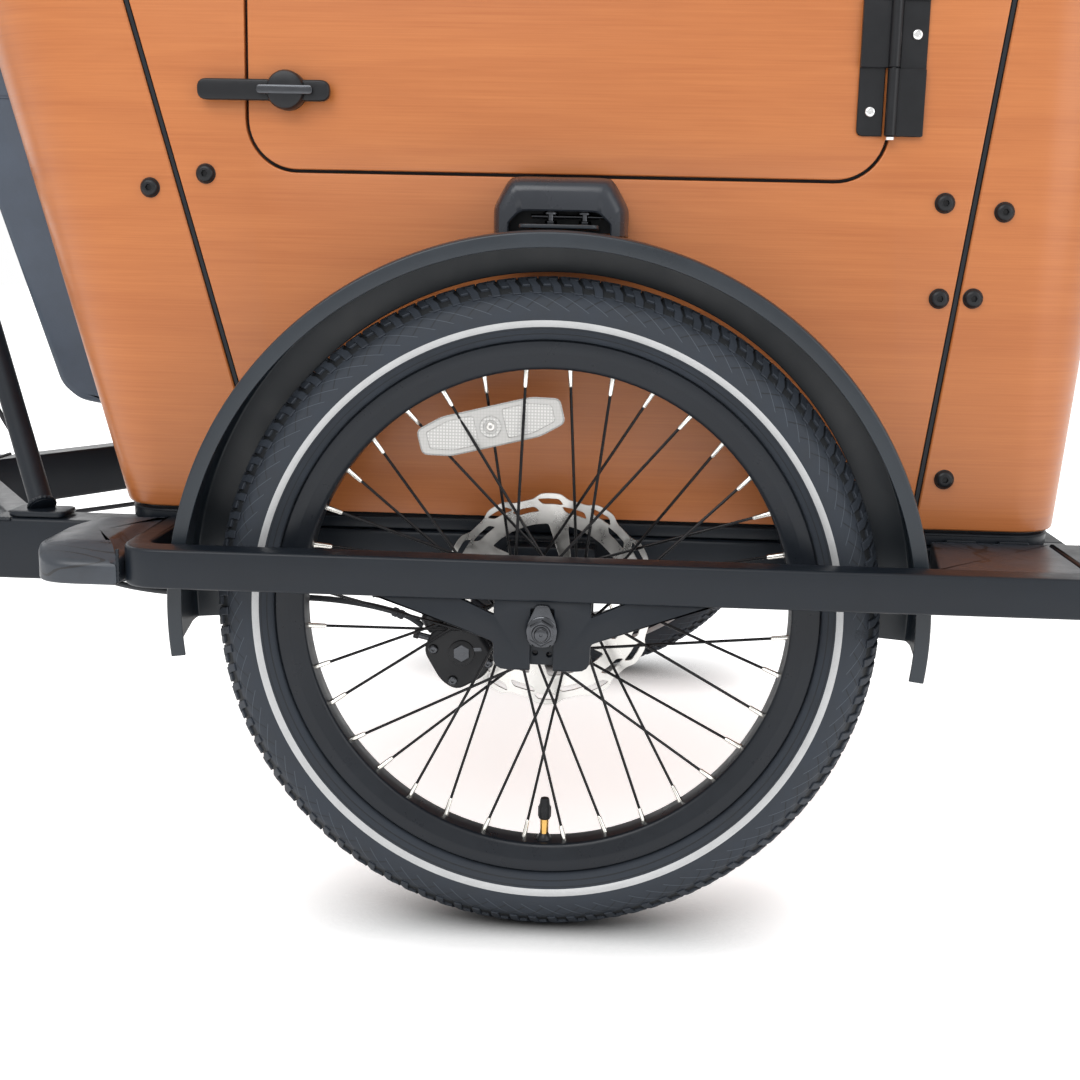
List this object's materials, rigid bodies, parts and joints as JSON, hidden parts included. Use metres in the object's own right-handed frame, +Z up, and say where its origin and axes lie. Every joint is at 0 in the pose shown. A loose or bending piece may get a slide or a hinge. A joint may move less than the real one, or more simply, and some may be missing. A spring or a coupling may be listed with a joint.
{
  "type": "cargo tricycle",
  "caption": "Front-loading cargo tricycle: wooden load box between two steered wheels with guard bars, chain-driven rear wheel, saddle and upright handlebar.",
  "frame": {"origin": "middle of the overall length and width, on the ground", "axes": "+X forward, +Y to the rider's left, +Z up; the sides seen with the front at the right are the rider's right"},
  "size_m": [2.2188, 0.898, 1.0952],
  "materials": {
    "dark_frame": "satin dark blue-grey powder coat",
    "lacquered_wood": "orange-brown veneer under satin lacquer",
    "tyre": "matt",
    "black_rubber": "matt",
    "black_plastic": "satin moulded plastic",
    "black_alloy": "satin black",
    "steel": "plain steel",
    "clear_plastic": "clear prismatic lens",
    "saddle_cover": "fine-grained cover"
  },
  "bodies": {
    "rear_frame": {"main_frame": "dark_frame", "rear_mudguard": "black_plastic", "rear_axle": "steel", "chain": "steel"},
    "rear_wheel": {"rear_tyre": "tyre", "rear_rim": "black_alloy", "rear_spoked_hub": "black_alloy"},
    "sprocket": {"rear_sprocket": "steel"},
    "crank": {"crankset": "black_alloy"},
    "pedal_r": {"pedal_right": "black_plastic"},
    "pedal_l": {"pedal_left": "black_plastic"},
    "seat": {"seat_post": "black_alloy", "saddle": "saddle_cover"},
    "carrier": {"carrier_frame": "dark_frame", "box_frame": "dark_frame", "box_floor": "lacquered_wood", "rear_wall": "lacquered_wood", "front_panel": "lacquered_wood", "rear_case": "black_plastic", "steering_column": "dark_frame", "handlebar": "black_alloy", "brake_lever_body": "black_alloy", "brake_hose": "black_rubber", "guard_bar_right": "dark_frame", "guard_bar_left": "dark_frame", "side_panel_right": "lacquered_wood", "side_panel_left": "lacquered_wood", "rear_corner_panel_right": "lacquered_wood", "rear_corner_panel_left": "lacquered_wood", "rear_step_pad_right": "black_rubber", "rear_step_pad_left": "black_rubber", "front_step_pad_right": "black_rubber", "front_step_pad_left": "black_rubber", "front_mudguard_right": "black_plastic", "front_mudguard_left": "black_plastic", "mudguard_hood_right": "black_plastic", "mudguard_hood_left": "black_plastic", "front_axle_right": "steel", "front_axle_left": "steel", "brake_caliper_right": "black_alloy", "brake_caliper_left": "black_alloy", "grip_right": "black_rubber", "grip_left": "black_rubber", "door_hinge_right": "black_alloy", "door_hinge_left": "black_alloy"},
    "brake_lever": {"brake_lever": "black_alloy"},
    "front_wheel_right": {"front_tyre_right": "tyre", "front_rim_right": "black_alloy", "spoked_hub_right": "black_alloy", "brake_disc_right": "steel", "wheel_reflector_right": "clear_plastic"},
    "door_right": {"side_door_right": "lacquered_wood"},
    "latch_right": {"door_latch_right": "black_alloy"},
    "front_wheel_left": {"front_tyre_left": "tyre", "front_rim_left": "black_alloy", "spoked_hub_left": "black_alloy", "brake_disc_left": "steel", "wheel_reflector_left": "clear_plastic"},
    "door_left": {"side_door_left": "lacquered_wood"},
    "latch_left": {"door_latch_left": "black_alloy"}
  },
  "joints": [
    {"name": "steering", "type": "hinge", "parent": "rear_frame", "child": "carrier", "pos_m": [0.00445, 0, 0.51], "axis": [0, 0, 1], "range_deg": [-35, 35]},
    {"name": "rear_wheel_spin", "type": "hinge", "parent": "rear_frame", "child": "rear_wheel", "pos_m": [-0.75555, 0, 0.33], "axis": [0, 1, 0], "continuous": true},
    {"name": "crank_spin", "type": "hinge", "parent": "rear_frame", "child": "crank", "pos_m": [-0.31555, 0, 0.288], "axis": [0, 1, 0], "continuous": true},
    {"name": "sprocket_spin", "type": "hinge", "parent": "rear_frame", "child": "sprocket", "pos_m": [-0.75555, 0, 0.33], "axis": [0, 1, 0], "continuous": true},
    {"name": "pedal_right_spin", "type": "hinge", "parent": "crank", "child": "pedal_r", "pos_m": [-0.14555, -0.12, 0.288], "axis": [0, 1, 0], "continuous": true},
    {"name": "pedal_left_spin", "type": "hinge", "parent": "crank", "child": "pedal_l", "pos_m": [-0.48555, 0.12, 0.288], "axis": [0, 1, 0], "continuous": true},
    {"name": "seat_height", "type": "slide", "parent": "rear_frame", "child": "seat", "axis": [-0.309, 0, 0.9511], "range_m": [-0.08, 0.05]},
    {"name": "brake_lever_squeeze", "type": "hinge", "parent": "carrier", "child": "brake_lever", "pos_m": [0.01445, -0.226, 1.072], "axis": [0, 0, -1], "range_deg": [0, 12], "stiffness_Nm_per_rad": 4, "springref_deg": -5.73},
    {"name": "front_wheel_right_spin", "type": "hinge", "parent": "carrier", "child": "front_wheel_right", "pos_m": [0.64445, -0.375, 0.256], "axis": [0, 1, 0], "continuous": true},
    {"name": "door_right_swing", "type": "hinge", "parent": "carrier", "child": "door_right", "pos_m": [0.89575, -0.309, 0.697], "axis": [0, 0, 1], "range_deg": [0, 100]},
    {"name": "latch_right_turn", "type": "hinge", "parent": "door_right", "child": "latch_right", "pos_m": [0.43045, -0.311, 0.648], "axis": [0, 1, 0], "range_deg": [0, 90]},
    {"name": "front_wheel_left_spin", "type": "hinge", "parent": "carrier", "child": "front_wheel_left", "pos_m": [0.64445, 0.375, 0.256], "axis": [0, 1, 0], "continuous": true},
    {"name": "door_left_swing", "type": "hinge", "parent": "carrier", "child": "door_left", "pos_m": [0.89575, 0.309, 0.697], "axis": [0, 0, -1], "range_deg": [0, 100]},
    {"name": "latch_left_turn", "type": "hinge", "parent": "door_left", "child": "latch_left", "pos_m": [0.43045, 0.311, 0.648], "axis": [0, 1, 0], "range_deg": [0, 90]}
  ],
  "couplings": [
    {"joint": "sprocket_spin", "follows": "crank_spin", "ratio": 2}
  ]
}
